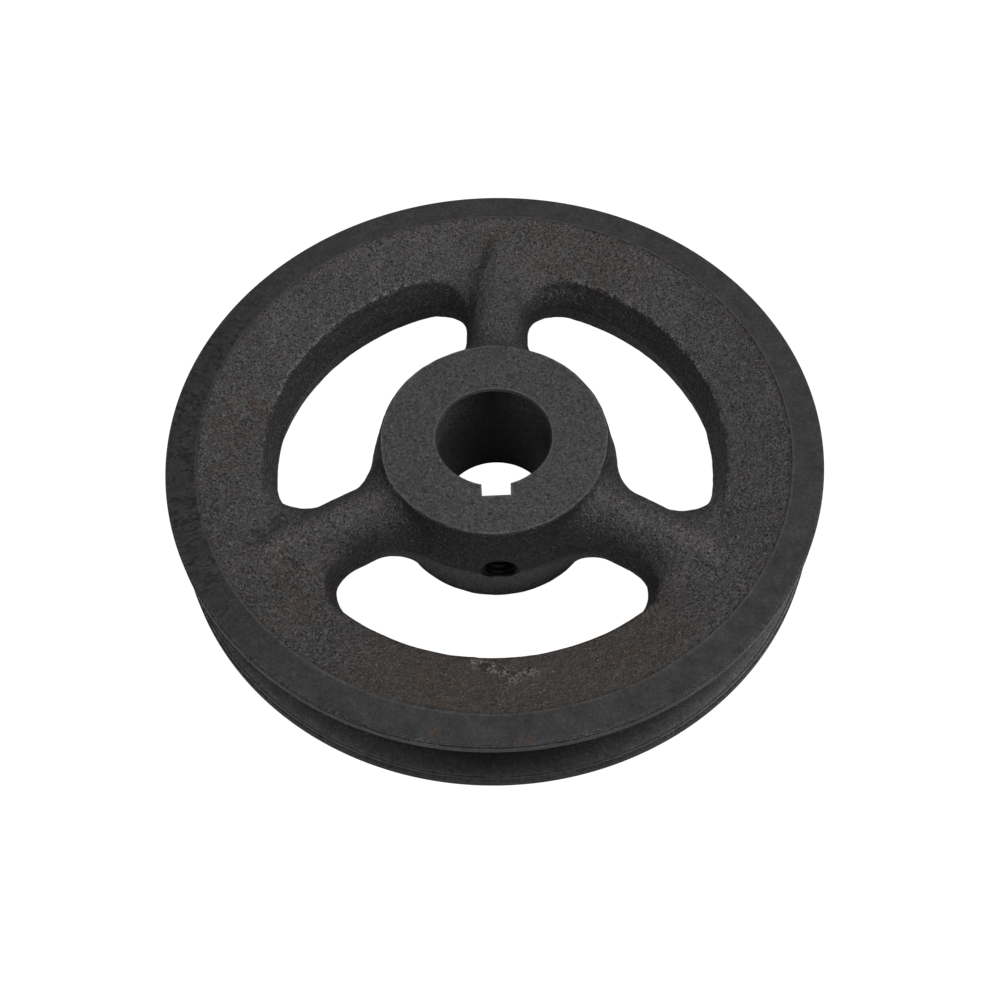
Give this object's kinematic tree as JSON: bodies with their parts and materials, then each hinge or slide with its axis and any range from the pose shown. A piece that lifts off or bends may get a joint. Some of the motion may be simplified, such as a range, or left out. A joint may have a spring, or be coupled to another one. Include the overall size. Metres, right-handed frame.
{
  "type": "v belt pulley",
  "caption": "Spoked cast-iron pulley with one V groove, a keyed bore in an offset hub, and a set screw over the keyway.",
  "frame": {"origin": "on the bore's axis, in the plane of the hub's lower end face, which the pulley rests on", "axes": "+Z along the bore, towards the hub end that lies level with the rim; -Y from the bore's axis towards the keyway and the set screw; the groove's middle plane is 18.5 mm above the origin"},
  "size_m": [0.146, 0.146, 0.0304],
  "materials": {
    "cast_iron": "dark grey cast skin with a fine grain and faint rust; smooth dark machined rim rings and groove",
    "black_oxide_steel": "black oxide, slightly oily"
  },
  "bodies": {
    "pulley": {"pulley": "cast_iron"},
    "set_screw": {"set_screw": "black_oxide_steel"}
  },
  "joints": [
    {"name": "set_screw_travel", "type": "slide", "parent": "pulley", "child": "set_screw", "axis": [0, -1, 0], "range_m": [-0.00282, 0.0127]}
  ]
}
